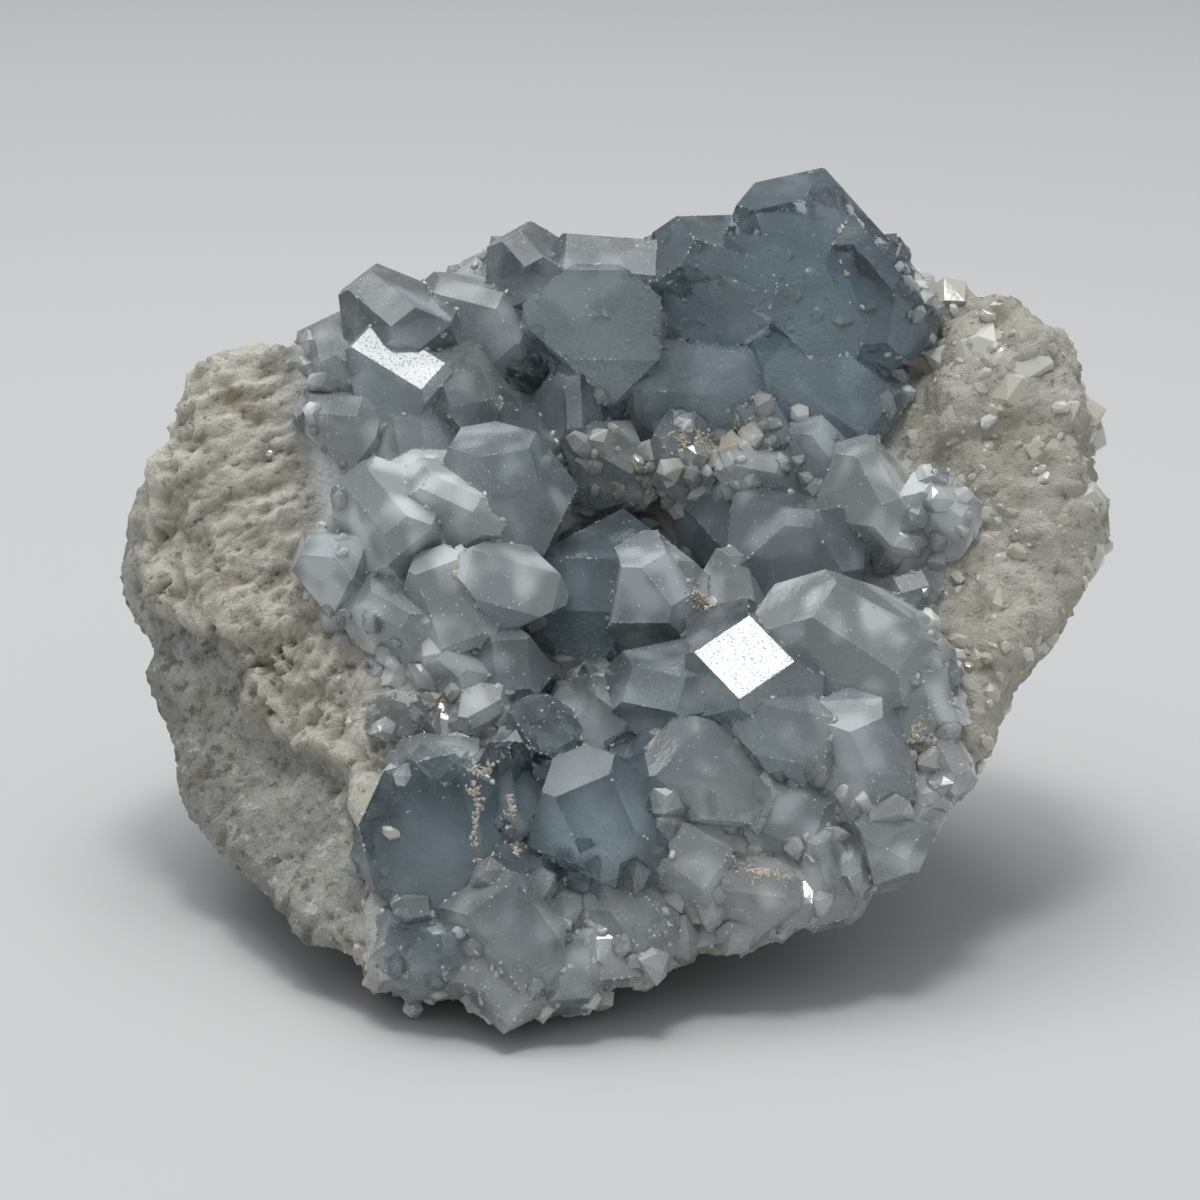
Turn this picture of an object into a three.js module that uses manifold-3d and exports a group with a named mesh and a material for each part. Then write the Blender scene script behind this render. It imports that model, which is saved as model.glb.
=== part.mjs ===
// A celestite geode: one broken piece of a limestone nodule whose hollow is lined with pale blue crystals.
// It rests on a small flat spot of its convex outer wall, with the crystal bed leaning towards the front.
//
// Everything is modelled in the frame of the crystal bed, in millimetres: u runs to the right, v runs up the
// leaning bed towards the back, and w stands out of the bed. The whole piece is then leaned back into place.
import * as THREE from "three";
import { ConvexGeometry } from "three/addons/geometries/ConvexGeometry.js";
import { ImprovedNoise } from "three/addons/math/ImprovedNoise.js";
import { mergeVertices } from "three/addons/utils/BufferGeometryUtils.js";
import Module from "manifold-3d";

const wasm = await Module();
wasm.setup();
const { Manifold, Mesh } = wasm;

// Driving dimensions
const BED_LEAN = 40; // degrees from level, the front edge low
const BED_ABOVE_TABLE = 28.7; // height of the bed's centre over the table
const ROCK_DEPTH = 37.5; // from the bed's centre straight down to the outer wall
const HOLLOW_DEPTH = 8.5; // below the bed around it
const CRUST_THICKNESS = 1.6; // sugary layer that joins the crystals
const SEAT_GAP = 0.35; // between the rock and the crust, so that the two solids stay apart
const BED_LEVEL = -2.5; // the rock under the crystals, against the bed's own zero
const ROCK_DETAIL = 11; // each icosahedron face is split this many times along its edge
const SEED = 41;

// Outline of the piece seen square to its bed, from the right-hand end anticlockwise
const RIM = [
  [41.5, 10], [41, 18], [37.5, 26], [29, 33.5], [17, 38], [5, 38], [-7, 36], [-19, 32], [-29, 27.5],
  [-35, 25.5], [-39, 18.5], [-40.2, 12], [-38, 3], [-38.5, -5], [-32, -16], [-21.5, -30.5], [-9, -38.5],
  [2, -35], [13, -29], [26, -20.5], [32.5, -7], [38, 2],
];
// Where the crystals stop on the left and the bare broken rock begins
const LEFT_EDGE = [
  [-29, 34], [-28.5, 23], [-26, 11], [-22.5, -2], [-16, -9.5], [-17, -18], [-18.5, -24], [-21, -40],
];
// Where the crystals stop on the right and the pale rim begins
const RIGHT_EDGE = [[29, 34], [25, 22], [25, 14], [29, 6], [27, -4], [27.5, -11], [27, -22], [24, -40]];
const HOLLOW = { u: 2, v: 7, wide: 15, high: 11 };
const LEFT_SHOULDER_FALL = { back: 0.2, front: 0.62 }; // slope of the broken rock down to the left
const LEDGES = { height: 1, pitch: 9.5, along: [0.8, 0.6] }; // slanting steps in the broken rock
const RIM_ROUND = 3; // how far the worn rim is rounded over
// Places where the rim swells up: the right-hand side, and the back of the broken shoulder
const SWELLS = [
  { height: 9.5, u: 34, v: 21, wide: 8, long: 19 },
  { height: 6, u: -34, v: 21, wide: 10, long: 12 },
];

// The outer wall's profile by side: where it is widest (w) and how full it is below that (2 is an ellipse)
const WALL_WIDEST = { right: -3, back: -7, left: -14, front: -1 };
const WALL_FULLNESS = { right: 1.35, back: 2.1, left: 1.9, front: 1.2 };

const CORE = new THREE.Vector3(-1, -2, -22); // a point well inside the rock
const REACH_LIMIT = 75;
const SPREADING_STEPS = 10;
const lean = THREE.MathUtils.degToRad(BED_LEAN);
const perlin = new ImprovedNoise();

function seededRandom(seed) {
  let state = seed >>> 0;
  return () => {
    state = (state + 0x6d2b79f5) >>> 0;
    let t = Math.imul(state ^ (state >>> 15), state | 1);
    t ^= t + Math.imul(t ^ (t >>> 7), t | 61);
    return ((t ^ (t >>> 14)) >>> 0) / 2 ** 32;
  };
}

// Fractal noise of about unit range, with its coarsest lumps the given size across
function lumps(p, size, octaves, offset) {
  let sum = 0;
  let gain = 1;
  let scale = 1 / size;
  for (let i = 0; i < octaves; i++) {
    sum += gain * perlin.noise(p.x * scale + offset, p.y * scale - offset, p.z * scale + 2 * offset);
    gain *= 0.5;
    scale *= 2;
  }
  return sum;
}

// The rock's outline as a smooth closed curve, read as a distance for each bearing
const rimCurve = new THREE.CatmullRomCurve3(
  RIM.map(([u, v]) => new THREE.Vector3(u, v, 0)),
  true,
  "centripetal",
);
const rimPoints = rimCurve
  .getPoints(400)
  .map((p) => ({ bearing: Math.atan2(p.y, p.x), reach: Math.hypot(p.x, p.y) }))
  .sort((a, b) => a.bearing - b.bearing);

function rimReach(bearing) {
  const after = rimPoints.findIndex((p) => p.bearing >= bearing);
  const b = rimPoints[after < 0 ? 0 : after];
  const a = rimPoints.at(after < 0 ? -1 : after - 1);
  const turn = (from, to) => (to - from + 4 * Math.PI) % (2 * Math.PI);
  const span = turn(a.bearing, b.bearing);
  return span < 1e-9 ? b.reach : THREE.MathUtils.lerp(a.reach, b.reach, turn(a.bearing, bearing) / span);
}

// Blends four values by the side of the piece that a bearing points to
function bySide(bearing, { right, back, left, front }) {
  const c = Math.cos(bearing);
  const s = Math.sin(bearing);
  return (c > 0 ? right : left) * c * c + (s > 0 ? back : front) * s * s;
}

// A boundary line across the bed: u at a given v
function edgeAt(line, v) {
  for (let i = 0; i + 1 < line.length; i++) {
    const [u0, v0] = line[i];
    const [u1, v1] = line[i + 1];
    if (v <= v0 && v >= v1) return THREE.MathUtils.mapLinear(v, v0, v1, u0, u1);
  }
  return v > line[0][1] ? line[0][0] : line.at(-1)[0];
}

// Height of the rock's upper surface: the hollow, the broken shoulder on the left and the swollen rim
function bedHeight(u, v) {
  const inHollow = ((u - HOLLOW.u) / HOLLOW.wide) ** 2 + ((v - HOLLOW.v) / HOLLOW.high) ** 2;
  let w = BED_LEVEL - HOLLOW_DEPTH * Math.exp(-inHollow / 2);
  const pastLeft = edgeAt(LEFT_EDGE, v) - u;
  if (pastLeft > 0) {
    const towardsBack = THREE.MathUtils.clamp((v + 4) / 22, 0, 1);
    const fall = THREE.MathUtils.lerp(LEFT_SHOULDER_FALL.front, LEFT_SHOULDER_FALL.back, towardsBack);
    const across = (LEDGES.along[0] * v - LEDGES.along[1] * u) / LEDGES.pitch;
    w -= fall * pastLeft;
    w += LEDGES.height * Math.min(1, pastLeft / 5) * Math.sin(2 * Math.PI * across);
  }
  for (const swell of SWELLS)
    w += swell.height * Math.exp(-(((u - swell.u) / swell.wide) ** 2) - ((v - swell.v) / swell.long) ** 2);
  return w;
}

// Height over the table of a point in the bed's frame
function heightOverTable(p) {
  return BED_ABOVE_TABLE + Math.sin(lean) * p.y + Math.cos(lean) * p.z;
}

// Below zero inside the rock, above zero outside
function rockField(p) {
  const bearing = Math.atan2(p.y, p.x);
  const widest = bySide(bearing, WALL_WIDEST);
  const fullness = bySide(bearing, WALL_FULLNESS);
  const sunk = Math.min(1, Math.max(0, (widest - p.z) / (ROCK_DEPTH + widest)));
  const narrowing = (1 - sunk ** fullness) ** (1 / fullness);
  const knobs = 3.8 * lumps(p, 16, 3, 3.1);
  const wall = Math.hypot(p.x, p.y) - rimReach(bearing) * narrowing + knobs;
  const pits = 2.4 * lumps(p, 9, 2, 7.7);
  const roof = p.z - bedHeight(p.x, p.y) + pits;
  const crease = Math.max(0, 1 - Math.abs(wall - roof) / RIM_ROUND);
  const rounded = Math.max(wall, roof) + (crease ** 2 * RIM_ROUND) / 4;
  return Math.max(rounded, -heightOverTable(p));
}

// How far the rock reaches from its core along a direction
function rockReach(direction) {
  let inside = 1;
  let outside = REACH_LIMIT;
  for (let i = 0; i < 40; i++) {
    const middle = (inside + outside) / 2;
    if (rockField(direction.clone().multiplyScalar(middle).add(CORE)) < 0) inside = middle;
    else outside = middle;
  }
  return inside;
}

function solidOf(geometry) {
  const bare = geometry.clone();
  bare.deleteAttribute("normal");
  bare.deleteAttribute("uv");
  const merged = mergeVertices(bare, 1e-4);
  return new Manifold(
    new Mesh({
      numProp: 3,
      vertProperties: merged.attributes.position.array,
      triVerts: new Uint32Array(merged.index.array),
    }),
  );
}

function geometryOf(solid) {
  const mesh = solid.getMesh();
  return new THREE.BufferGeometry()
    .setAttribute("position", new THREE.BufferAttribute(mesh.vertProperties, 3))
    .setIndex(new THREE.BufferAttribute(mesh.triVerts, 1));
}

// Directions from the core, shared by the rock and by everything that follows its surface
const rays = mergeVertices(
  (() => {
    const ball = new THREE.IcosahedronGeometry(1, ROCK_DETAIL);
    ball.deleteAttribute("normal");
    ball.deleteAttribute("uv");
    return ball;
  })(),
  1e-4,
);
const rayCount = rays.attributes.position.count;
const directions = Array.from({ length: rayCount }, (_, i) =>
  new THREE.Vector3().fromBufferAttribute(rays.attributes.position, i).normalize(),
);
const reaches = directions.map(rockReach);
const neighbours = directions.map(() => new Set());
for (let i = 0; i < rays.index.count; i += 3) {
  const corners = [0, 1, 2].map((k) => rays.index.getX(i + k));
  corners.forEach((corner, k) => neighbours[corner].add(corners[(k + 1) % 3]));
}

// Spread the directions so that the facets come out about the same size all over the rock
for (let step = 0; step < SPREADING_STEPS; step++) {
  const points = directions.map((direction, i) => direction.clone().multiplyScalar(reaches[i]).add(CORE));
  directions.forEach((direction, i) => {
    const sum = new THREE.Vector3();
    for (const j of neighbours[i]) sum.add(points[j]);
    direction.copy(sum.divideScalar(neighbours[i].size).sub(CORE).normalize());
  });
  directions.forEach((direction, i) => {
    reaches[i] = rockReach(direction);
  });
}

// The rock's own surface moved outwards by a distance that may change from place to place
function rockGrownBy(distance) {
  const grown = rays.clone();
  directions.forEach((direction, i) => {
    const surface = direction.clone().multiplyScalar(reaches[i]).add(CORE);
    const p = direction.clone().multiplyScalar(reaches[i] + distance(surface)).add(CORE);
    grown.attributes.position.setXYZ(i, p.x, p.y, p.z);
  });
  return solidOf(grown);
}

// How far a point lies inside the part of the bed that the crystals cover
function insideBed(p) {
  const sides = Math.min(p.x - edgeAt(LEFT_EDGE, p.y), edgeAt(RIGHT_EDGE, p.y) - p.x);
  const onTop = 4 - Math.abs(p.z - bedHeight(p.x, p.y));
  return Math.min(sides, onTop);
}

// A convex crystal from its faces, each a direction and its distance from the crystal's tip
function convexFromFaces(faces) {
  const corners = [];
  const slack = 1e-5;
  for (let i = 0; i < faces.length; i++)
    for (let j = i + 1; j < faces.length; j++)
      for (let k = j + 1; k < faces.length; k++) {
        const [a, b, c] = [faces[i].normal, faces[j].normal, faces[k].normal];
        const rows = new THREE.Matrix3().set(a.x, a.y, a.z, b.x, b.y, b.z, c.x, c.y, c.z);
        if (Math.abs(rows.determinant()) < 1e-6) continue;
        const p = new THREE.Vector3(faces[i].at, faces[j].at, faces[k].at).applyMatrix3(rows.invert());
        if (faces.some(({ normal, at }) => normal.dot(p) > at + slack)) continue;
        if (corners.every((q) => q.distanceTo(p) > 1e-3)) corners.push(p);
      }
  return new ConvexGeometry(corners);
}

// One celestite crystal standing along +Z with its tip near the origin: a rhombic prism cut flat on two
// sides, under a steep wedge with a sloping face at each end of its ridge and a small face on each shoulder.
// No two are even. `flat` cuts the ridge off level.
const PRISM_ANGLE = THREE.MathUtils.degToRad(40);
const WEDGE_ANGLE = THREE.MathUtils.degToRad(48);
const DOME_ANGLE = THREE.MathUtils.degToRad(41);
const SHOULDER_ANGLE = THREE.MathUtils.degToRad(60);

function crystalGeometry({ across, slab, long, ridge, flat, shoulder }, random) {
  const uneven = (share) => 1 + share * (random() - 0.5);
  const half = across / 2;
  const face = (x, y, z, at) => ({ normal: new THREE.Vector3(x, y, z), at });
  const steep = (angle, bearing, at) =>
    face(Math.sin(angle) * Math.cos(bearing), Math.sin(angle) * Math.sin(bearing), Math.cos(angle), at);
  const faces = [face(0, 0, -1, long), face(0, 0, 1, -flat * across)];
  for (const side of [1, -1]) {
    for (const other of [1, -1]) {
      const bearing = Math.atan2(other * Math.sin(PRISM_ANGLE), side * Math.cos(PRISM_ANGLE));
      faces.push(steep(Math.PI / 2, bearing, half * 0.8 * uneven(0.4)));
      const askew = bearing + 0.3 * (random() - 0.5);
      faces.push(steep(SHOULDER_ANGLE, askew, half * shoulder * uneven(0.5)));
    }
    faces.push(face(0, side, 0, half * slab * uneven(0.3)));
    faces.push(steep(WEDGE_ANGLE, side > 0 ? 0 : Math.PI, 0.3 * half * random() ** 2));
    faces.push(steep(DOME_ANGLE, (side * Math.PI) / 2, half * ridge * uneven(0.8)));
  }
  return convexFromFaces(faces);
}

// Puts a crystal's tip at a point and leans its axis towards u and v, after turning it about its own axis
function placedCrystal({ tip, leanU, leanV, turn, ...shape }, random) {
  const degrees = THREE.MathUtils.degToRad;
  const axis = new THREE.Vector3(Math.tan(degrees(leanU)), Math.tan(degrees(leanV)), 1).normalize();
  const stand = new THREE.Quaternion().setFromUnitVectors(new THREE.Vector3(0, 0, 1), axis);
  const spin = new THREE.Quaternion().setFromAxisAngle(new THREE.Vector3(0, 0, 1), degrees(turn));
  const pose = new THREE.Matrix4().compose(tip, stand.multiply(spin), new THREE.Vector3(1, 1, 1));
  return solidOf(crystalGeometry(shape, random).applyMatrix4(pose));
}

// The crystals that stand out. Each row: tip (u, v, w), width across, lean towards u and v in degrees, turn
// about its own axis, side thickness and ridge length as shares of the half width, and how much of the ridge
// is cut off level.
const MAIN_CRYSTALS = [
  // the tall group at the back right
  { at: [9.5, 27, 9.5], across: 15, lean: [-8, -16], turn: 66, slab: 0.95, ridge: 0.3, flat: 0.06 },
  { at: [16, 28.5, 10.5], across: 20, lean: [0, -12], turn: 14, slab: 0.95, ridge: 0.25, flat: 0.03 },
  { at: [24, 27.5, 8], across: 16, lean: [18, -4], turn: 40, slab: 0.85, ridge: 0.2, flat: 0.02 },
  { at: [7, 20, 3.5], across: 13, lean: [-14, -20], turn: 80, slab: 0.9, ridge: 0.3, flat: 0.12 },
  { at: [20, 20, 4.5], across: 16, lean: [8, -18], turn: 55, slab: 0.9, ridge: 0.35, flat: 0.08 },
  { at: [13.5, 16.5, 1.5], across: 10, lean: [0, -24], turn: 25, slab: 0.9, ridge: 0.2, flat: 0.05 },
  // the blocky row at the back
  { at: [2.5, 30.5, 8], across: 15, lean: [2, 2], turn: 86, slab: 0.9, ridge: 0.5, flat: 0.14 },
  { at: [-1, 23.5, 7], across: 13.5, lean: [2, -24], turn: 90, slab: 0.9, ridge: 0.6, flat: 0.18 },
  { at: [-7, 31, 7], across: 12, lean: [-8, 4], turn: 32, slab: 0.9, ridge: 0.15, flat: 0.03 },
  { at: [-12.5, 27.5, 5.5], across: 12, lean: [-8, -4], turn: 68, slab: 0.9, ridge: 0.25, flat: 0.08 },
  // the bright mound at the back left
  { at: [-19, 25.5, 7.5], across: 11, lean: [-12, 2], turn: 40, slab: 0.9, ridge: 0.25, flat: 0.08 },
  { at: [-17.5, 20, 7], across: 10, lean: [2, -2], turn: 55, slab: 0.9, ridge: 0.2, flat: 0.18 },
  { at: [-12.5, 18.5, 5], across: 9.5, lean: [14, -8], turn: 20, slab: 0.9, ridge: 0.2, flat: 0.12 },
  { at: [-25, 24, 3.5], across: 10, lean: [-22, 4], turn: 15, slab: 0.9, ridge: 0.25, flat: 0.05 },
  { at: [-23.5, 17, 3], across: 9.5, lean: [-18, -10], turn: 75, slab: 0.9, ridge: 0.2, flat: 0.08 },
  // the blue slope between the mound and the hollow
  { at: [-16.5, 13.5, 3.5], across: 10, lean: [-8, -18], turn: 10, slab: 0.9, ridge: 0.2, flat: 0.08 },
  { at: [-15.5, 9.8, 4.5], across: 8.5, lean: [-2, 2], turn: 85, slab: 0.9, ridge: 0.35, flat: 0.2 },
  { at: [-8.5, 15.5, 1.5], across: 11.5, lean: [8, -22], turn: 50, slab: 0.9, ridge: 0.25, flat: 0.1 },
  { at: [-3, 17.5, 1.5], across: 10.5, lean: [6, -26], turn: 5, slab: 0.9, ridge: 0.2, flat: 0.05 },
  // the group that stands in front of the hollow on the left
  { at: [-8, 8, 6.5], across: 12, lean: [12, -8], turn: 18, slab: 0.95, ridge: 0.12, flat: 0.05 },
  { at: [-13.5, 5.8, 6.5], across: 12, lean: [-4, -12], turn: 62, slab: 0.9, ridge: 0.18, flat: 0.06 },
  { at: [-19.5, 5, 5.5], across: 11.5, lean: [-18, -8], turn: 35, slab: 0.9, ridge: 0.2, flat: 0.04 },
  { at: [-24, 3.5, 2], across: 8.5, lean: [-28, -4], turn: 70, slab: 0.9, ridge: 0.2, flat: 0.04 },
  { at: [-7.5, -1, 4], across: 10, lean: [16, -24], turn: 80, slab: 0.9, ridge: 0.25, flat: 0.12 },
  { at: [-13, -3.5, 3.5], across: 10, lean: [-2, -30], turn: 20, slab: 0.9, ridge: 0.2, flat: 0.15 },
  { at: [-18.5, -3, 2], across: 9.5, lean: [-18, -20], turn: 55, slab: 0.9, ridge: 0.2, flat: 0.08 },
  // the hollow and the ridge behind it
  { at: [9, 9, -2.5], across: 9, lean: [-10, -30], turn: 40, slab: 0.95, ridge: 0.15, flat: 0.18 },
  { at: [0, 14, 0], across: 8.5, lean: [0, -26], turn: 60, slab: 0.9, ridge: 0.2, flat: 0.08 },
  { at: [6.5, 14, 0.5], across: 8.5, lean: [-4, -24], turn: 15, slab: 0.9, ridge: 0.2, flat: 0.05 },
  { at: [12.5, 12.5, 1], across: 8.5, lean: [-8, -16], turn: 75, slab: 0.9, ridge: 0.2, flat: 0.08 },
  { at: [18.5, 13, 2.5], across: 9, lean: [2, -14], turn: 35, slab: 0.9, ridge: 0.2, flat: 0.05 },
  { at: [15.5, 5.3, 4], across: 16, lean: [2, -4], turn: 84, slab: 0.8, ridge: 0.1, flat: 0 },
  { at: [22.5, 8.5, 4.5], across: 10.5, lean: [12, -6], turn: 25, slab: 0.9, ridge: 0.25, flat: 0.08 },
  { at: [28, 7, 3], across: 9, lean: [16, -10], turn: 60, slab: 0.9, ridge: 0.2, flat: 0.05 },
  // the middle
  { at: [-1, 0, 1.5], across: 17, lean: [-6, -22], turn: 86, slab: 0.9, ridge: 0.3, flat: 0.14 },
  { at: [5.5, 0.5, 2], across: 11.5, lean: [18, -6], turn: 40, slab: 0.9, ridge: 0.1, flat: 0.08 },
  { at: [11, 0, 1], across: 9.5, lean: [6, -16], turn: 10, slab: 0.9, ridge: 0.2, flat: 0.05 },
  { at: [-0.5, -13, 0.5], across: 10.5, lean: [0, -14], turn: 50, slab: 0.9, ridge: 0.15, flat: 0.04 },
  { at: [-5.5, -13.5, 2.5], across: 7.5, lean: [-4, -2], turn: 30, slab: 0.9, ridge: 0.1, flat: 0.2 },
  { at: [-5, -17.5, 0.5], across: 9.5, lean: [8, -10], turn: 75, slab: 0.9, ridge: 0.15, flat: 0.03 },
  { at: [-13, -7.5, 0.5], across: 8.5, lean: [-12, -14], turn: 45, slab: 0.9, ridge: 0.15, flat: 0.04 },
  { at: [-8.5, -8, 0.5], across: 8.5, lean: [4, -20], turn: 5, slab: 0.9, ridge: 0.2, flat: 0.08 },
  // the front right
  { at: [11.5, -8.5, 5.6], across: 15.5, lean: [-1, 1], turn: 38, slab: 0.95, ridge: 0.1, flat: 0.085 },
  { at: [3.5, -10.5, 3.5], across: 11.5, lean: [-20, -12], turn: 70, slab: 0.9, ridge: 0.2, flat: 0.05 },
  { at: [20.5, -7, 6], across: 17, lean: [10, -8], turn: 58, slab: 0.95, ridge: 0.25, flat: 0.07 },
  { at: [21, -18, 3.5], across: 12, lean: [16, -20], turn: 28, slab: 0.9, ridge: 0.2, flat: 0.08 },
  { at: [14.5, -16, 4], across: 10.5, lean: [2, -20], turn: 80, slab: 0.9, ridge: 0.2, flat: 0.08 },
  { at: [2.5, -18.5, 2.5], across: 9.5, lean: [-12, -10], turn: 20, slab: 0.95, ridge: 0.15, flat: 0.1 },
  { at: [8, -19, 4], across: 12.5, lean: [4, -16], turn: 48, slab: 0.9, ridge: 0.25, flat: 0.1 },
  { at: [14, -21.5, 1], across: 9, lean: [4, -20], turn: 70, slab: 0.9, ridge: 0.2, flat: 0.08 },
  { at: [26, -11, 2.5], across: 10, lean: [26, -8], turn: 12, slab: 0.9, ridge: 0.2, flat: 0.06 },
  // the front left, down to the low tip
  { at: [-14.5, -26, 4.5], across: 13, lean: [-10, -32], turn: 12, slab: 0.95, ridge: 0.3, flat: 0.24 },
  { at: [-14, -17.5, 2], across: 9, lean: [-14, -14], turn: 50, slab: 0.9, ridge: 0.2, flat: 0.08 },
  { at: [-8, -20, 3], across: 8.5, lean: [6, -10], turn: 8, slab: 0.85, ridge: 0.3, flat: 0.06 },
  { at: [-0.5, -24, 5], across: 13, lean: [2, -20], turn: 24, slab: 0.9, ridge: 0.15, flat: 0.06 },
  { at: [-7, -27, 1.5], across: 9, lean: [0, -18], turn: 60, slab: 0.9, ridge: 0.2, flat: 0.04 },
  { at: [-8, -33, 2], across: 12.5, lean: [-4, -26], turn: 35, slab: 0.9, ridge: 0.25, flat: 0.12 },
  { at: [-15.5, -32, 0], across: 9, lean: [-20, -16], turn: 70, slab: 0.9, ridge: 0.2, flat: 0.06 },
  { at: [6, -26, 1.5], across: 9.5, lean: [4, -16], turn: 55, slab: 0.9, ridge: 0.2, flat: 0.08 },
  // the low crystals along the front edge
  { at: [27.5, -15.5, 0.5], across: 8, lean: [18, -8], turn: 30, slab: 0.9, ridge: 0.2, flat: 0.06 },
  { at: [22.5, -22, 0.5], across: 8.5, lean: [10, -12], turn: 65, slab: 0.9, ridge: 0.2, flat: 0.08 },
  { at: [17, -25.5, 0], across: 8, lean: [4, -16], turn: 15, slab: 0.9, ridge: 0.2, flat: 0.06 },
  { at: [11, -27.5, 0.5], across: 8.5, lean: [-4, -14], turn: 80, slab: 0.9, ridge: 0.2, flat: 0.08 },
  { at: [1.5, -30.5, 0.5], across: 9, lean: [4, -14], turn: 40, slab: 0.9, ridge: 0.2, flat: 0.06 },
  { at: [-3, -33.5, 0], across: 7.5, lean: [2, -10], turn: 5, slab: 0.9, ridge: 0.2, flat: 0.08 },
];
const ROOT_DEPTH = 3.5; // how far a crystal's foot reaches below the bed

function mainCrystals(random) {
  return MAIN_CRYSTALS.map(({ at, across, lean: [leanU, leanV], turn, slab, ridge, flat }) => {
    const tip = new THREE.Vector3(...at);
    const long = tip.z - bedHeight(tip.x, tip.y) + ROOT_DEPTH;
    const shape = { across, slab, ridge, flat, long, shoulder: 0.74 };
    return placedCrystal({ tip, leanU, leanV, turn, ...shape }, random);
  });
}

// Small crystals that fill the bed between the main ones, on a sunflower spiral so that they spread evenly
const SMALL = { count: 170, across: [4.5, 7], stand: [2, 4.2], lean: 30, spread: 44, keepOff: 0.32 };
const GOLDEN_ANGLE = Math.PI * (3 - Math.sqrt(5));

function smallCrystals(random) {
  const between = ([low, high]) => THREE.MathUtils.lerp(low, high, random());
  const made = [];
  for (let i = 0; i < SMALL.count; i++) {
    const far = SMALL.spread * Math.sqrt((i + 0.5) / SMALL.count);
    const u = far * Math.cos(i * GOLDEN_ANGLE);
    const v = far * Math.sin(i * GOLDEN_ANGLE);
    const across = between(SMALL.across);
    const stand = between(SMALL.stand);
    const leanU = SMALL.lean * (2 * random() - 1);
    const leanV = SMALL.lean * (2 * random() - 1);
    const pose = { leanU, leanV, turn: 180 * random() };
    const onBed = insideBed(new THREE.Vector3(u, v, bedHeight(u, v)));
    const onPiece = rimReach(Math.atan2(v, u)) - Math.hypot(u, v);
    const crowded = MAIN_CRYSTALS.some(
      ({ at, across: width }) => Math.hypot(at[0] - u, at[1] - v) < SMALL.keepOff * width,
    );
    const footing = rockField(new THREE.Vector3(u, v, bedHeight(u, v) - 3));
    if (onBed < 0.6 || onPiece < 2 || footing > -1.5 || crowded) continue;
    const tip = new THREE.Vector3(u, v, bedHeight(u, v) + stand);
    const shape = { across, slab: 0.9, ridge: 0.2, flat: 0.06, long: stand + 3.5, shoulder: 0.9 };
    made.push(placedCrystal({ tip, ...pose, ...shape }, random));
  }
  return made;
}

// The host rock
function makeMatrix() {
  return rockGrownBy(() => 0);
}

// The crystals and the thin sugary layer that joins them, cut off where they sit on the rock
function makeCrust() {
  const random = seededRandom(SEED);
  const layer = rockGrownBy((p) => THREE.MathUtils.clamp(insideBed(p), -1, 1) * CRUST_THICKNESS);
  const crystals = Manifold.union([layer, ...mainCrystals(random), ...smallCrystals(random)]);
  const seated = crystals.subtract(rockGrownBy(() => SEAT_GAP));
  const pieces = seated.decompose().sort((a, b) => b.volume() - a.volume());
  return pieces[0];
}

const hostRock = new THREE.MeshStandardMaterial({ color: 0xa8a294, roughness: 0.95, metalness: 0 });
const celestite = new THREE.MeshStandardMaterial({ color: 0x8fa3b4, roughness: 0.15, metalness: 0 });

const matrix = new THREE.Mesh(geometryOf(makeMatrix()), hostRock);
matrix.name = "matrix";
const crust = new THREE.Mesh(geometryOf(makeCrust()), celestite);
crust.name = "crystal_crust";

// Lean the piece back on its flat spot, with the origin on the table under the middle of its box
const leaning = new THREE.Group();
leaning.rotation.x = lean;
leaning.add(matrix, crust);
const geode = new THREE.Group();
geode.add(leaning);
const box = new THREE.Box3().setFromObject(geode, true);
const middle = box.getCenter(new THREE.Vector3());
leaning.position.set(-middle.x, -middle.y, BED_ABOVE_TABLE);

export default geode;
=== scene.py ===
import math
import random

import bmesh
import bpy
from mathutils import Matrix, Vector, noise
from mathutils.bvhtree import BVHTree


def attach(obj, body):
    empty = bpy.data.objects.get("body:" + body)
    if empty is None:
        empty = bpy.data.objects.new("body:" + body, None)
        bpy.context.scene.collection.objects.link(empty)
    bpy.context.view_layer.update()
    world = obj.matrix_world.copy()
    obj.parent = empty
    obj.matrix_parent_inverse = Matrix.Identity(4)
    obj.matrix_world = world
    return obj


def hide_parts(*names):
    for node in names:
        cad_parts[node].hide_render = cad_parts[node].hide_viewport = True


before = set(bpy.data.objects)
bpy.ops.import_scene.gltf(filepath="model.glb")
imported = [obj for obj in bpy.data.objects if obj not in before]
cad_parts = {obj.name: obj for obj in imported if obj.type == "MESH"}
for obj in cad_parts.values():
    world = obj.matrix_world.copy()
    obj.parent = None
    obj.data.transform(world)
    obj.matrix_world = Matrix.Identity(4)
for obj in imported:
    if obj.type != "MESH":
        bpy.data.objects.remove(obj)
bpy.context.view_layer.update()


# Host rock: a broken piece of a limestone nodule. Its outer wall is rounded and weathered grey, the left-hand
# shoulder is a fresh, crumbly break with slanting fibres and pits, and the bed under the crystals is white.
BED_CENTRE = Vector((0.00039, -0.00649, 0.0287))
BED_LEAN = math.radians(40)
MM = 0.001
MM_PER_METRE = 1000
# Places on the leaning bed are u to the right, v up the slope and w out of it, in millimetres. The edges of the
# crystals on either side, as v, u
LEFT_EDGE = (
    (34, -29), (23, -28.5), (11, -26), (-2, -22.5), (-9.5, -16), (-18, -17), (-24, -18.5), (-40, -21),
)
RIGHT_EDGE = ((34, 29), (22, 25), (14, 25), (6, 29), (-4, 27), (-11, 27.5), (-22, 27), (-40, 24))
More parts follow.
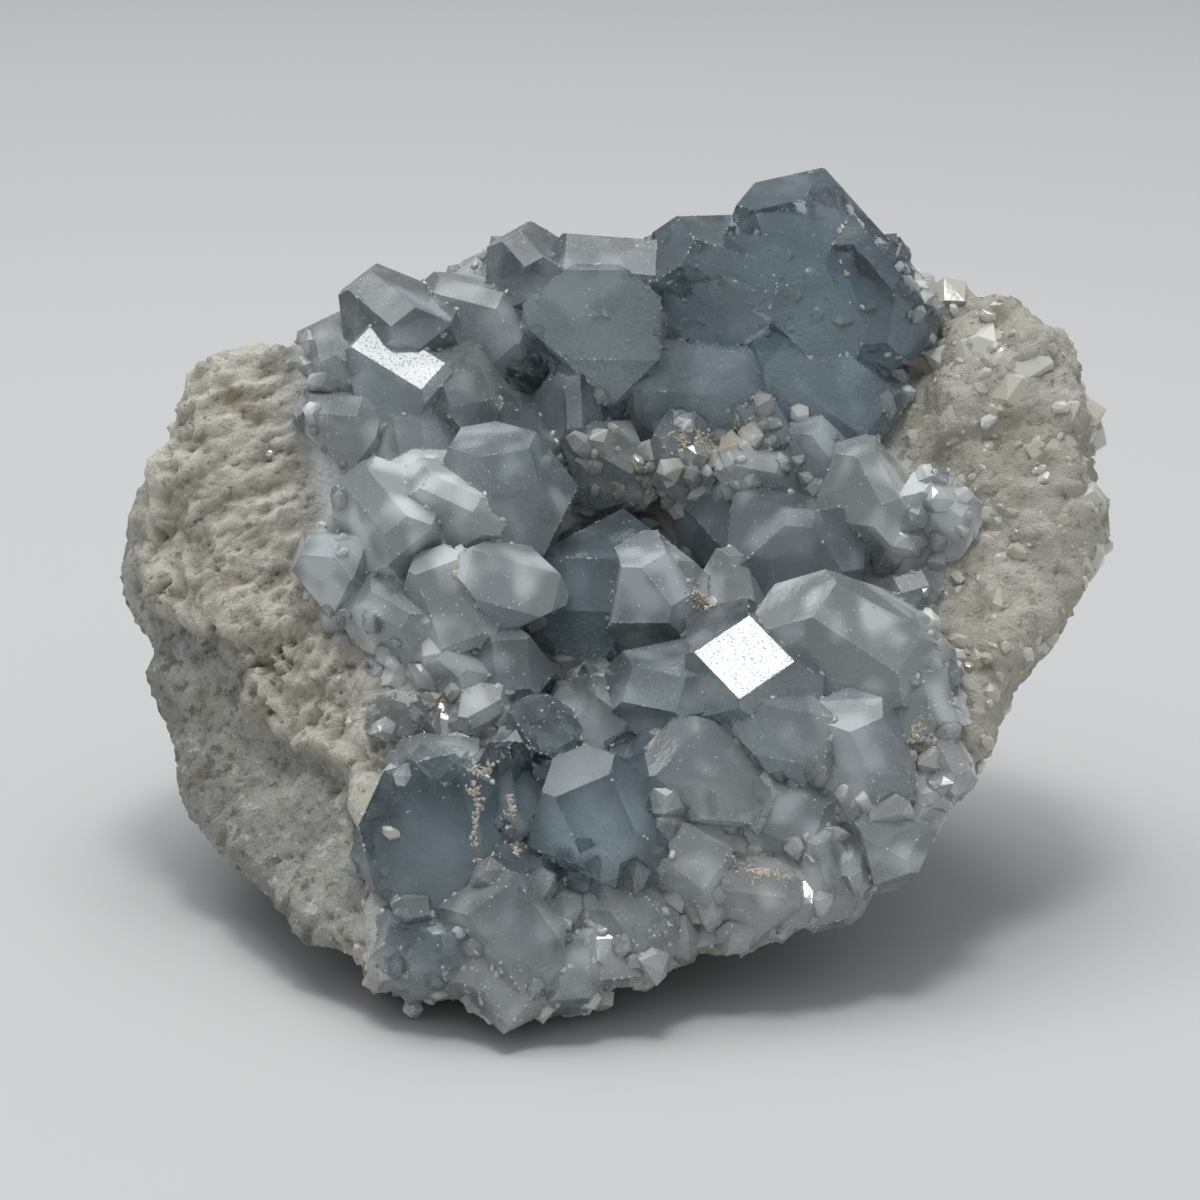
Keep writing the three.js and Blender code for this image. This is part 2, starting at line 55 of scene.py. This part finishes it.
# Where the broken shoulder turns over into the wall below it, as v, u
WALL_EDGE = (
    (8.2, -39.4), (3.9, -38.4), (1.1, -34.6), (0, -31.6), (-3.2, -30.3), (-6.7, -29.3), (-9.5, -25.8),
    (-13.5, -21.6), (-20, -19), (-40, -18),
)
level_bed = Matrix.Rotation(-BED_LEAN, 3, "X")
bed_normal = level_bed.inverted() @ Vector((0, 0, 1))


def on_bed(point):
    return level_bed @ (point - BED_CENTRE) * MM_PER_METRE


def edge_at(line, x):
    for (x0, y0), (x1, y1) in zip(line, line[1:]):
        if x1 <= x <= x0:
            return y0 + (y1 - y0) * (x - x0) / (x1 - x0)
    return line[0][1] if x > line[0][0] else line[-1][1]


def ease(low, high, x):
    t = min(1, max(0, (x - low) / (high - low)))
    return t * t * (3 - 2 * t)


def with_modifiers_applied(piece):
    shaped = bpy.data.meshes.new_from_object(piece.evaluated_get(bpy.context.evaluated_depsgraph_get()))
    piece.modifiers.clear()
    piece.data = shaped
    return shaped


rock = bpy.data.objects.new("host_rock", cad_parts["matrix"].data.copy())
bpy.context.scene.collection.objects.link(rock)
welded = bmesh.new()
welded.from_mesh(rock.data)
bmesh.ops.remove_doubles(welded, verts=welded.verts, dist=1e-6)
welded.to_mesh(rock.data)
welded.free()
rounding = rock.modifiers.new("rounding", "SUBSURF")
rounding.levels = rounding.render_levels = 2
grain = rock.modifiers.new("grain", "REMESH")
grain.mode = "VOXEL"
grain.voxel_size = 0.45 * MM
skin = with_modifiers_applied(rock)

FIBRE = Vector((0.8, 0.6, -0.25)).normalized()
ELSEWHERE = Vector((7, 3, 1))
chance = random.Random(3)
# Without a seed of its own, noise_vector takes its offsets from the clock
noise.seed_set(3)
layers = {name: [] for name in ("pit_and_painted_shade", "shoulder", "rim", "bed", "sugar", "streak")}
moved = []
for place, facing in [(vertex.co.copy(), vertex.normal.copy()) for vertex in skin.vertices]:
    p = on_bed(place)
    out = level_bed @ facing
    # Which part of the rock this is
    past_left = edge_at(LEFT_EDGE, p.y) - p.x
    past_right = p.x - edge_at(RIGHT_EDGE, p.y)
    past_wall = edge_at(WALL_EDGE, p.y) - p.x + 1.2 * noise.noise(p * 0.3)
    shoulder = ease(-1, 2, past_left) * ease(-0.35, 0.15, out.z) * ease(1.2, -0.6, past_wall)
    rim = ease(-2, 1.5, past_right) * ease(-0.45, 0.0, out.z) * ease(-24, -14, p.y)
    bed = ease(0.0, 0.35, out.z) * ease(-0.5, -2, past_left) * ease(0.5, -1, past_right)
    front = ease(-6, -14, p.y) * ease(-9, -6, p.z) * ease(-0.75, -0.35, out.z) * ease(2, -1, past_left)
    front *= 1 - bed
    wall = (1 - shoulder) * (1 - rim) * (1 - bed)
    # The shapes in the rock, and how far each lifts its surface in millimetres
    along = FIBRE * p.dot(FIBRE)
    across = p - along
    drawn = across * 0.42 + along * 0.11 + noise.noise_vector(p * 0.13) * 0.45
    fibres = noise.ridged_multi_fractal(drawn, 0.75, 2.2, 4, 1.0, 2.0) - 1.3
    coarse = noise.fractal(p * 0.14, 0.9, 2.0, 4)
    grit = noise.fractal(p * 1.2, 0.5, 2.0, 2)
    fine = noise.ridged_multi_fractal(across * 0.95 + along * 0.22, 0.6, 2.2, 3, 1.0, 2.0) - 1.2
    # The pit mask sinks the surface into pits and also darkens their colour below as painted shade
    pit_and_painted_shade = ease(0.36, 0.7, noise.fractal(across * 0.46 + along * 0.14 + ELSEWHERE, 0.7, 2.2, 5))
    lump = 0.45 - noise.voronoi(p * 0.22 + noise.noise_vector(p * 0.3) * 0.25)[0][0] ** 2
    lift = 1.1 * bed + (1 - bed) * (0.6 + 0.4 * coarse + 0.25 * grit + chance.gauss(0, 0.04))
    lift += shoulder * (0.55 * fibres + 0.35 * fine + 0.5 * coarse - 0.85 * pit_and_painted_shade)
    lift += wall * (0.2 * fine - 0.4 * pit_and_painted_shade)
    lift += rim * (2.2 * lump + 0.3 * fibres)
    streak = ease(-0.9, 0.8, fibres + 0.6 * fine)
    if p.x < -10:
        step = ease(-0.2, 1.2, past_wall) * ease(11, 2, past_wall) * ease(9, 4, p.y)
        lift += (0.3 + 0.7 * math.exp(-((past_wall + 0.8) ** 2)) - 1.2 * step) * (1 - bed)
    place += facing * (lift * MM * ease(0.2 * MM, 1.2 * MM, place.z))
    moved += (place.x, place.y, max(0, place.z))
    border = ease(6, 0, past_left) * shoulder * ease(-0.4, 0.2, coarse)
    foot = ease(3.5, 0, past_left) * ease(-11, -15, p.y) * ease(-0.6, -0.2, out.z) * (1 - bed)
    sugar = max(rim, front, border, foot, bed * ease(29, 32, p.y))
    for name, value in zip(layers, (pit_and_painted_shade, shoulder, rim, bed, sugar, streak)):
        layers[name].append(value)
skin.vertices.foreach_set("co", moved)
for name, values in layers.items():
    skin.attributes.new(name, "FLOAT", "POINT").data.foreach_set("value", values)
skin.shade_smooth()


class Paint:
    """A socket in a material's tree. Sums on it add Math nodes, and add() makes any other node."""

    def __init__(self, tree, socket=None):
        self.tree = tree
        self.socket = socket

    def add(self, kind, settings=None, inputs=None, output=0):
        node = self.tree.nodes.new("ShaderNode" + kind)
        for key, value in (settings or {}).items():
            setattr(node, key, value)
        for key, value in (inputs or {}).items():
            if isinstance(value, Paint):
                self.tree.links.new(value.socket, node.inputs[key])
            else:
                node.inputs[key].default_value = value
        return Paint(self.tree, node.outputs[output] if node.outputs else None)

    def sum(self, operation, first, second):
        return self.add("Math", {"operation": operation}, {0: first, 1: second})

    def __add__(self, other):
        return self.sum("ADD", self, other)

    def __sub__(self, other):
        return self.sum("SUBTRACT", self, other)

    def __rsub__(self, other):
        return self.sum("SUBTRACT", other, self)

    def __mul__(self, other):
        return self.sum("MULTIPLY", self, other)

    __radd__ = __add__
    __rmul__ = __mul__

    def between(self, low, high):
        return self.add("MapRange", {"interpolation_type": "SMOOTHSTEP"}, {"Value": self, 1: low, 2: high})

    def blend(self, share, first, second):
        settings = {"data_type": "RGBA"}
        return self.add("Mix", settings, {0: share, 6: first, 7: second}, output=2)

    def layer(self, name):
        return self.add("Attribute", {"attribute_name": name}, output="Fac")

    def noise(self, scale, detail=4, roughness=0.55, place=None):
        inputs = {"Scale": scale, "Detail": detail, "Roughness": roughness}
        if place:
            inputs["Vector"] = place
        return self.add("TexNoise", {}, inputs)


def new_material(name):
    material = bpy.data.materials.new(name)
    material.use_nodes = True
    material.node_tree.nodes.clear()
    return material, Paint(material.node_tree)


limestone, paint = new_material("broken_limestone")
place = paint.add("TexCoord", output="Object")
cloud = paint.noise(110, 5, 0.6, place).between(0.35, 0.65)
speckle = paint.noise(900, 4, 0.7, place)
sand = paint.noise(2600, 3, 0.7, place)
stain = paint.noise(230, 5, 0.65, place).between(0.52, 0.72)
mottle = paint.noise(520, 4, 0.7, place)
pit_and_painted_shade, shoulder, rim, bed, sugar, streak = (paint.layer(name) for name in layers)
colour = paint.blend(cloud, (0.31, 0.31, 0.28, 1), (0.50, 0.495, 0.45, 1))
colour = paint.blend(mottle.between(0.56, 0.68) * 0.7, colour, (0.66, 0.655, 0.62, 1))
colour = paint.blend(mottle.between(0.46, 0.36) * 0.8, colour, (0.14, 0.14, 0.13, 1))
fresh_break = paint.blend(streak, (0.46, 0.425, 0.33, 1), (0.86, 0.83, 0.725, 1))
colour = paint.blend(shoulder * 0.9, colour, fresh_break)
sandy_rim = paint.blend(cloud, (0.42, 0.385, 0.285, 1), (0.58, 0.56, 0.475, 1))
colour = paint.blend(rim * 0.75, colour, sandy_rim)
colour = paint.blend(stain * (shoulder * 0.35 + 0.45), colour, (0.31, 0.265, 0.18, 1))
colour = paint.blend(sugar * (0.5 - rim * 0.25), colour, (0.68, 0.67, 0.62, 1))
colour = paint.blend(speckle.between(0.58, 0.70) * 0.55, colour, (0.78, 0.76, 0.69, 1))
colour = paint.blend(speckle.between(0.44, 0.32) * 0.65, colour, (0.17, 0.16, 0.13, 1))
colour = paint.blend(sand.between(0.62, 0.72) * 0.5, colour, (0.15, 0.14, 0.115, 1))
# Painted shade: the pits are darkened to a deep brown, on top of the real hollows they make in the surface
colour = paint.blend(pit_and_painted_shade * 0.5, colour, (0.17, 0.145, 0.105, 1))
white_bed = paint.blend(cloud, (0.52, 0.545, 0.55, 1), (0.68, 0.69, 0.68, 1))
colour = paint.blend(bed, colour, white_bed)
bumps = speckle + sand * 0.7
relief = paint.add("Bump", {}, {"Strength": 0.9, "Distance": 0.4 * MM, "Height": bumps}, "Normal")
stone = paint.add(
    "BsdfPrincipled", {}, {"Base Color": colour, "Roughness": sand * 0.2 + 0.78, "Normal": relief, "IOR": 1.5}
)
paint.add("OutputMaterial", {}, {"Surface": stone})
skin.materials.clear()
skin.materials.append(limestone)
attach(rock, "root")
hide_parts("matrix")


# Celestite crystals: blocky, wedge-topped crystals of clouded grey-blue strontium sulphate, grown together on
# the bed. They are milky at the root and clearer at the tip. Small ones fill the creases and coat the front
# edge, the ridge behind the hollow and the right-hand rim, where they are beige and nearly opaque.
crust = bmesh.new()
crust.from_mesh(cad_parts["crystal_crust"].data)
bmesh.ops.remove_doubles(crust, verts=crust.verts, dist=1e-6)
kept = {name: crust.faces.layers.float.new(name) for name in ("milk", "blue", "frost", "stain")}
crust.normal_update()
crust.verts.ensure_lookup_table()
solid_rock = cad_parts["matrix"].data
rock_tree = BVHTree.FromPolygons(
    [vertex.co for vertex in solid_rock.vertices], [face.vertices for face in solid_rock.polygons]
)


def above_rock(place):
    return rock_tree.find_nearest(place)[3]


SEAT = 0.6 * MM
seated = {face.index for face in crust.faces if all(above_rock(vertex.co) < SEAT for vertex in face.verts)}
# Patches of the bed by clarity: u, v, radius, how milky and how deep a blue the crystals there are
PATCHES = (
    (16, 26, 12, 0.1, 1.0), (15, 17.5, 4, 0.0, 1.0), (0, 26, 9, 0.2, 0.65), (-17, 21, 8, 0.45, 0.3),
    (-25, 16, 6, 0.6, 0.15),
    (-14, 6, 8, 0.6, 0.25), (-8, 1, 5, 0.9, 0.1), (-21, 3, 5, 0.7, 0.15), (2, 8, 6, 0.05, 0.95),
    (4, 15, 5, 1.0, 0.0), (14, 14, 5, 1.0, 0.0), (21, 14, 5, 0.9, 0.1), (-1, -3, 7, 0.45, 0.4),
    (8, 0, 4, 0.7, 0.1), (16, 5, 6, 0.5, 0.4), (26, 8, 5, 0.6, 0.2), (11, -10, 6, 0.1, 0.6),
    (21, -8, 7, 0.7, 0.15), (20, -19, 7, 0.5, 0.3), (-3, -19, 5, 0.0, 1.0), (-15, -25, 6, 0.0, 1.0),
    (-14, -12, 4, 0.5, 0.3), (0, -24, 4, 0.1, 0.8), (1, -30, 3, 0.6, 0.2), (9, -26, 6, 0.7, 0.1),
    (-9, -34, 6, 0.35, 0.5),
)
# The front edge of the crystal bed: u, v
FRONT_EDGE = (
    (32, -14), (26, -19.5), (19, -24), (13, -28), (7, -30.5), (2, -33.8), (-4, -36.3), (-9, -37.2), (-18, -33),
)
# Strips where sand has settled: both ends as u, v, and the width
SANDY = (
    (-10.9, -19.2, -10.4, -22.5, 0.5), (-10.6, -22.5, -10.3, -26, 0.35), (-7.9, -20.6, -7.2, -25.2, 0.35),
    (-10.6, -18.4, -9.6, -18.0, 0.7), (11.0, -25.2, 12.4, -26.4, 1.1),
    (6.8, -0.4, 8.2, -1.2, 0.9), (6, 15, 12, 15.4, 1.4), (-15.5, -9, -14, -9.6, 1.1),
    (24.5, -14, 25.5, -16, 1.0),
)
chance = random.Random(7)


def patch_of(place):
    p = on_bed(place)
    weights = [math.exp(-(((p.x - u) ** 2 + (p.y - v) ** 2) / r**2)) + 1e-6 for u, v, r, _, _ in PATCHES]
    milk = sum(w * patch[3] for w, patch in zip(weights, PATCHES)) / sum(weights)
    blue = sum(w * patch[4] for w, patch in zip(weights, PATCHES)) / sum(weights)
    milk += chance.uniform(-0.18, 0.18)
    blue += chance.uniform(-0.2, 0.2)
    return min(1, max(0, milk)), min(1, max(0, blue))


def flooded(faces, joins):
    """Groups of faces that are joined across edges."""
    seen, groups = set(), []
    wanted = {face.index for face in faces}
    for start in faces:
        if start.index in seen:
            continue
        seen.add(start.index)
        group = [start]
        for face in group:
            for edge in face.edges:
                if len(edge.link_faces) == 2 and joins(edge):
                    for other in edge.link_faces:
                        if other.index in wanted and other.index not in seen:
                            seen.add(other.index)
                            group.append(other)
        groups.append(group)
    return groups


def open_edges(wanted):
    """Both ends and the facing of each bare edge whose angle is wanted: below 0 in a crease, in radians."""
    found = []
    for edge in crust.edges:
        if len(edge.link_faces) == 2 and wanted(edge.calc_face_angle_signed()):
            if not any(face.index in seated for face in edge.link_faces):
                facing = edge.link_faces[0].normal + edge.link_faces[1].normal
                found.append((edge.verts[0].co.copy(), edge.verts[1].co.copy(), facing))
    return found


creases = open_edges(lambda angle: angle < -0.25)
worn = open_edges(lambda angle: angle > 0.35)
bare = [face for face in crust.faces if face.index not in seated]
ground = [(face.normal.copy(), [vertex.co.copy() for vertex in face.verts]) for face in bare]
ground_areas = [face.calc_area() for face in bare]

for face in crust.faces:
    face[kept["milk"]] = 0.6
for cluster in flooded(bare, lambda edge: edge.calc_face_angle_signed() > -0.02):
    milk, blue = patch_of(sum((face.calc_center_median() for face in cluster), Vector()) / len(cluster))
    for facet in flooded(cluster, lambda edge: abs(edge.calc_face_angle_signed()) < 0.01):
        frost = chance.random()
        for face in facet:
            face[kept["milk"]] = milk
            face[kept["blue"]] = blue
            face[kept["frost"]] = frost

crust.verts.index_update()
vertices = [vertex.co.copy() for vertex in crust.verts]
faces = [[vertex.index for vertex in face.verts] for face in crust.faces]
ROOT_HEIGHT = 8 * MM
by_point = {"height": [min(1, above_rock(place) / ROOT_HEIGHT) for place in vertices]}
by_face = {name: [face[layer] for face in crust.faces] for name, layer in kept.items()}


GRAIN_SHAPES = 12
shapes = []
for _ in range(GRAIN_SHAPES):
    ring = [i * math.pi / 3 + chance.uniform(-0.2, 0.2) for i in range(6)]
    gem = bmesh.new()
    for level, width in ((-0.7, 0.9), (chance.uniform(0.1, 0.5), 1.0)):
        for angle in ring:
            stretch = chance.uniform(0.85, 1.1) * width
            gem.verts.new((math.cos(angle) * stretch, math.sin(angle) * stretch * 0.8, level))
    for end in (-1, 1):
        tip = (chance.uniform(-0.15, 0.15), end * chance.uniform(0.15, 0.4), chance.uniform(0.6, 1.0))
        gem.verts.new(tip)
    for angle in ring[:: chance.choice((2, 3))]:
        gem.verts.new((math.cos(angle) * 0.55, math.sin(angle) * 0.5, chance.uniform(0.6, 0.8)))
    hull = bmesh.ops.convex_hull(gem, input=gem.verts)
    inner = set(hull["geom_interior"] + hull["geom_unused"])
    loose = [item for item in inner if isinstance(item, bmesh.types.BMVert)]
    bmesh.ops.delete(gem, geom=loose, context="VERTS")
    gem.verts.index_update()
    shapes.append(([v.co.copy() for v in gem.verts], [[v.index for v in f.verts] for f in gem.faces]))
    gem.free()


def grown_grain(place, facing, size, tallest=1.5):
    """A tiny crystal standing on a surface: its corners, and its sides counted from the first corner."""
    corners, sides = chance.choice(shapes)
    axis = (facing.normalized() + Vector([chance.gauss(0, 0.4) for _ in range(3)])).normalized()
    turn = axis.to_track_quat("Z", "Y").to_matrix() @ Matrix.Rotation(chance.uniform(0, math.tau), 3, "Z")
    stretch = Vector((1, chance.uniform(0.7, 1.1), chance.uniform(0.7, tallest))) * size
    return [place + turn @ (corner * stretch) for corner in corners], sides


def add_crystal(place, facing, size, milk, blue, stain, tallest=1.4, heights=(0.13, 0.5)):
    corners, sides = grown_grain(place - facing.normalized() * size * 0.3, facing, size, tallest)
    first = len(vertices)
    vertices.extend(Vector((corner.x, corner.y, max(0, corner.z))) for corner in corners)
    by_point["height"].extend([chance.uniform(*heights)] * len(corners))
    for side in sides:
        faces.append([first + index for index in side])
        values = {"milk": milk, "blue": blue, "frost": chance.random(), "stain": stain}
        for name, value in values.items():
            by_face[name].append(value)


def sand_at(p):
    settled = 0
    for u0, v0, u1, v1, width in SANDY:
        start, along = Vector((u0, v0)), Vector((u1 - u0, v1 - v0))
        t = min(1, max(0, (p.xy - start).dot(along) / along.length_squared))
        settled = max(settled, math.exp(-(((p.xy - start - along * t).length / width) ** 2)))
    return min(1, settled + ease(0.0, 0.6, noise.noise(p * 0.11)) * 0.8)


CREASE_SPACING = 3.2 * MM
for start, end, facing in creases:
    place = start.lerp(end, chance.random())
    low = ease(7 * MM, 3 * MM, above_rock(place))
    if chance.random() < (end - start).length / CREASE_SPACING * (low + 0.08):
        milk, blue = patch_of(place)
        size = (0.4 + (0.6 + 1.4 * low) * chance.random() ** 2) * MM
        add_crystal(place, facing, size, milk, blue * 0.8, 0)

BED_TRIES = 3000
DUST_TRIES = 24000
scattered = []
for facing, corners in chance.choices(ground, ground_areas, k=BED_TRIES + DUST_TRIES):
    a, b = sorted((chance.random(), chance.random()))
    scattered.append((corners[0] * a + corners[1] * (b - a) + corners[2] * (1 - b), facing))
for place, facing in scattered[:BED_TRIES]:
    p = on_bed(place)
    past_front = p.y - edge_at(FRONT_EDGE, p.x)
    band = ease(5, 1.5, past_front)
    ridge = ease(1.2, 0.7, math.hypot((p.x - 10) / 14, (p.y - 14.5) / 3.5)) * ease(3, 0, p.z)
    border = ease(4, 0.5, p.x - edge_at(LEFT_EDGE, p.y)) + ease(3, 0.5, edge_at(RIGHT_EDGE, p.y) - p.x)
    low = ease(3 * MM, 1.2 * MM, above_rock(place))
    crowd = max(band, ridge, border * 0.5, low * 0.4) * ease(-0.2, 0.6, past_front)
    if chance.random() < crowd:
        stain = max(sand_at(p) * chance.uniform(0.2, 1), band * chance.uniform(0, 0.6))
        milk = chance.uniform(0.2, 0.9) + 0.2 * band
        size = (0.4 + 1.1 * chance.random() ** 1.6) * MM
        place = place - (facing * 0.4 + bed_normal * 0.3) * size * band
        add_crystal(place, facing + bed_normal * (0.3 + band), size, milk, chance.uniform(0, 0.3), stain)


RIM_CRYSTALS = 0.035
RIM_LUMPS = 0.015
sites = [(vertex.co.copy(), vertex.normal.copy()) for vertex in skin.vertices]
for (place, facing), share in zip(sites, layers["sugar"]):
    if chance.random() < share * RIM_CRYSTALS:
        size = (0.3 + 0.8 * chance.random() ** 2) * MM
        milk, stain = chance.uniform(0.6, 1), chance.uniform(0.3, 0.95)
        add_crystal(place, facing, size, milk, 0, stain, 0.9, (0.0, 0.15))
for (place, facing), share in zip(sites, layers["rim"]):
    if chance.random() < share * RIM_LUMPS:
        size = (1.0 + 2.4 * chance.random() ** 1.5) * MM
        milk, stain = chance.uniform(0.8, 1), 0.35 + 0.55 * chance.random()
        add_crystal(place - facing * size * 0.35, facing, size, milk, 0, stain, 0.8, (0.0, 0.12))


def new_piece(name, vertices, faces, by_point, by_face):
    mesh = bpy.data.meshes.new(name)
    mesh.from_pydata(vertices, [], faces)
    for domain, values in (("POINT", by_point), ("FACE", by_face)):
        for layer, numbers in values.items():
            mesh.attributes.new(layer, "FLOAT", domain).data.foreach_set("value", numbers)
    piece = bpy.data.objects.new(name, mesh)
    bpy.context.scene.collection.objects.link(piece)
    return piece


crystals = new_piece("celestite_crystals", vertices, faces, by_point, by_face)
celestite, paint = new_material("clouded_celestite")
place = paint.add("TexCoord", output="Object")
names = ("height", "milk", "blue", "frost", "stain")
height, milk, blue, frost, stain = (paint.layer(name) for name in names)
veil = paint.noise(230, 1, 0.65, place)
grain = paint.noise(2400, 0, 0.65, place)
dust = paint.noise(5200, 0, 0.6, place)
specks = dust.between(0.71, 0.79) * grain.between(0.5, 0.7) * 0.6
frosted = frost.between(0.7, 1.0)
rough = dust.between(0.55, 0.8) * 0.15 + frosted * 0.2 + milk * 0.08 + 0.03 + specks * 0.3
bumps = grain * 0.1 + veil * 1.8
relief = paint.add("Bump", {}, {"Strength": 0.4, "Distance": 0.15 * MM, "Height": bumps}, "Normal")
glass = paint.blend(blue, (0.95, 0.98, 0.99, 1), (0.74, 0.865, 0.925, 1))
CELESTITE_IOR = 1.62
facets = {"Roughness": rough, "Normal": relief, "IOR": CELESTITE_IOR}
clear = paint.add("BsdfPrincipled", {}, facets | {"Base Color": glass, "Transmission Weight": 1.0})
cloudy = paint.blend(blue, (0.88, 0.91, 0.895, 1), (0.205, 0.30, 0.36, 1))
cloudy = paint.blend(height.between(0.45, 0.05) * 0.7, cloudy, (0.76, 0.77, 0.75, 1))
cloudy = paint.blend(stain, cloudy, (0.56, 0.515, 0.415, 1))
cloudy = paint.blend(specks, cloudy, (0.82, 0.83, 0.82, 1))
milky = paint.add("BsdfPrincipled", {}, facets | {"Base Color": cloudy})
clouds = veil.between(0.46, 0.70)
share = milk * 0.36 + 0.06 + height.between(0.35, 0.05) * 0.25 + clouds * (milk * 0.5 + 0.14)
share = share + frosted * 0.12 + specks + stain * 0.7 + height.between(0.15, 0.0) * 0.5
surface = paint.add("MixShader", {}, {0: share.add("Clamp", {}, {"Value": share}), 1: clear, 2: milky})
depth = paint.add("VolumeAbsorption", {}, {"Color": (0.42, 0.68, 0.80, 1), "Density": 28})
paint.add("OutputMaterial", {}, {"Surface": surface, "Volume": depth})
crystals.data.materials.append(celestite)
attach(crystals, "root")
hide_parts("crystal_crust")


# Sugary druse: the finest grains of the same mineral, white to sandy. They fill the gaps between the crystals,
# lie as sand in strips and as dust on the flat faces, and stand as chips along the worn edges.
SAND_PER_MM2 = 80
CREASE_GRAIN_SPACING = 0.6 * MM
CHIP_SPACING = 0.5 * MM
chance = random.Random(23)
vertices, faces = [], []
by_point = {"sand": [], "clear": []}


def add_grain(place, facing, size, sand, tallest=1.5):
    corners, sides = grown_grain(place, facing, size, tallest)
    first = len(vertices)
    vertices.extend(corners)
    by_point["sand"].extend([sand] * len(corners))
    by_point["clear"].extend([chance.random()] * len(corners))
    faces.extend([first + index for index in side] for side in sides)


for start, end, facing in creases:
    sandy = sand_at(on_bed(start))
    for _ in range(int((end - start).length / CREASE_GRAIN_SPACING * (0.25 + sandy) + chance.random())):
        place = start.lerp(end, chance.random()) - facing * 0.1 * MM
        add_grain(place, facing, chance.uniform(0.15, 0.45) * MM, sandy * chance.uniform(0.5, 1))

crust_tree = BVHTree.FromBMesh(crust)
CLEAR_OF_TIPS = 30
for u0, v0, u1, v1, width in SANDY:
    reach = math.hypot(u1 - u0, v1 - v0) + width
    for _ in range(int(reach * width * SAND_PER_MM2)):
        t = chance.random()
        u = u0 + (u1 - u0) * t + chance.gauss(0, width * 0.5)
        v = v0 + (v1 - v0) * t + chance.gauss(0, width * 0.5)
        above = level_bed.inverted() @ Vector((u, v, CLEAR_OF_TIPS)) * MM + BED_CENTRE
        place, facing, _, _ = crust_tree.ray_cast(above, -bed_normal)
        if place and noise.noise(place * 900) + chance.gauss(0, 0.15) > -0.1:
            add_grain(place, facing, chance.uniform(0.06, 0.22) * MM, chance.uniform(0.4, 1), 1.1)

for start, end, facing in worn:
    for _ in range(int((end - start).length / CHIP_SPACING + chance.random())):
        place = start.lerp(end, chance.random())
        if noise.noise(place * 260) + chance.gauss(0, 0.12) > 0.22:
            add_grain(place, facing, chance.uniform(0.05, 0.15) * MM, 0.1 * chance.random(), 0.8)

for place, facing in scattered[BED_TRIES:]:
    if chance.random() < 0.03 * ease(-0.1, 0.3, noise.noise(place * 120)) + 0.004:
        add_grain(place, facing, chance.uniform(0.04, 0.1) * MM, chance.uniform(0, 0.5), 0.9)

druse = new_piece("sugary_druse", vertices, faces, by_point, {})
sugar_crystal, paint = new_material("sugary_celestite")
place = paint.add("TexCoord", output="Object")
sand, clear = (paint.layer(name) for name in by_point)
grit = paint.noise(4200, 3, 0.7, place)
colour = paint.blend(clear, (0.68, 0.685, 0.665, 1), (0.50, 0.53, 0.54, 1))
colour = paint.blend(sand, colour, (0.60, 0.525, 0.39, 1))
relief = paint.add("Bump", {}, {"Strength": 0.4, "Distance": 0.1 * MM, "Height": grit}, "Normal")
surface = {"Base Color": colour, "Roughness": grit * 0.25 + 0.12, "Normal": relief, "IOR": 1.6}
paint.add("OutputMaterial", {}, {"Surface": paint.add("BsdfPrincipled", {}, surface)})
druse.data.materials.append(sugar_crystal)
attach(druse, "root")
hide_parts("crystal_crust")


# Table top: a plain pale sheet of matt board that lies flat under the piece. It is far wider than the view,
# so that its edges stay out of sight.
REACH = 12
floor_mesh = bpy.data.meshes.new("table_top")
corners = [(-REACH, -REACH, 0), (REACH, -REACH, 0), (REACH, REACH, 0), (-REACH, REACH, 0)]
floor_mesh.from_pydata(corners, [], [(0, 1, 2, 3)])
floor = bpy.data.objects.new("table_top", floor_mesh)
bpy.context.scene.collection.objects.link(floor)
matt_white, paint = new_material("matt_white_board")
board = paint.add("BsdfPrincipled", {}, {"Base Color": (0.68, 0.68, 0.675, 1), "Roughness": 0.7})
paint.add("OutputMaterial", {}, {"Surface": board})
floor_mesh.materials.append(matt_white)


# Light: a broad soft box high up behind the piece, a small lamp overhead, which the flat facets mirror, and an
# even pale room.
def soft_box(name, place, aim, size, watts):
    light = bpy.data.lights.new(name, "AREA")
    light.size = size
    light.energy = watts
    lamp = bpy.data.objects.new(name, light)
    lamp.location = place
    lamp.rotation_euler = (Vector(aim) - Vector(place)).to_track_quat("-Z", "Y").to_euler()
    bpy.context.scene.collection.objects.link(lamp)


soft_box("ceiling panel", (-0.14, 0.28, 1.1), (0, 0, 0.03), 0.9, 5.6)
soft_box("lamp", (0.0, -0.06, 0.55), (0, 0, 0.03), 0.12, 0.66)
room = bpy.data.worlds.new("room")
room.use_nodes = True
room.node_tree.nodes["Background"].inputs["Color"].default_value = (0.92, 0.96, 1.0, 1)
room.node_tree.nodes["Background"].inputs["Strength"].default_value = 0.42
bpy.context.scene.world = room
bpy.context.scene.view_settings.view_transform = "Standard"
cycles = bpy.context.scene.cycles
cycles.max_bounces = 6
cycles.transmission_bounces = 5
cycles.diffuse_bounces = 1
cycles.glossy_bounces = 1


# Camera: a close view from a little above, square to the front.
ELEVATION = math.radians(17)
DISTANCE = 0.260
PIXELS_PER_METRE = 12150
sight = Vector((0, -math.cos(ELEVATION), math.sin(ELEVATION)))
above = Vector((0, math.sin(ELEVATION), math.cos(ELEVATION)))
aim = BED_CENTRE - (Vector((1, 0, 0)) + above) * (10 / PIXELS_PER_METRE)
lens = bpy.data.cameras.new("camera")
lens.sensor_width = 36
lens.lens = 36 * DISTANCE / (1200 / PIXELS_PER_METRE)
lens.clip_start = 0.005
camera = bpy.data.objects.new("camera", lens)
camera.location = aim + sight * DISTANCE
camera.rotation_euler = (-sight).to_track_quat("-Z", "Y").to_euler()
bpy.context.scene.collection.objects.link(camera)
bpy.context.scene.camera = camera
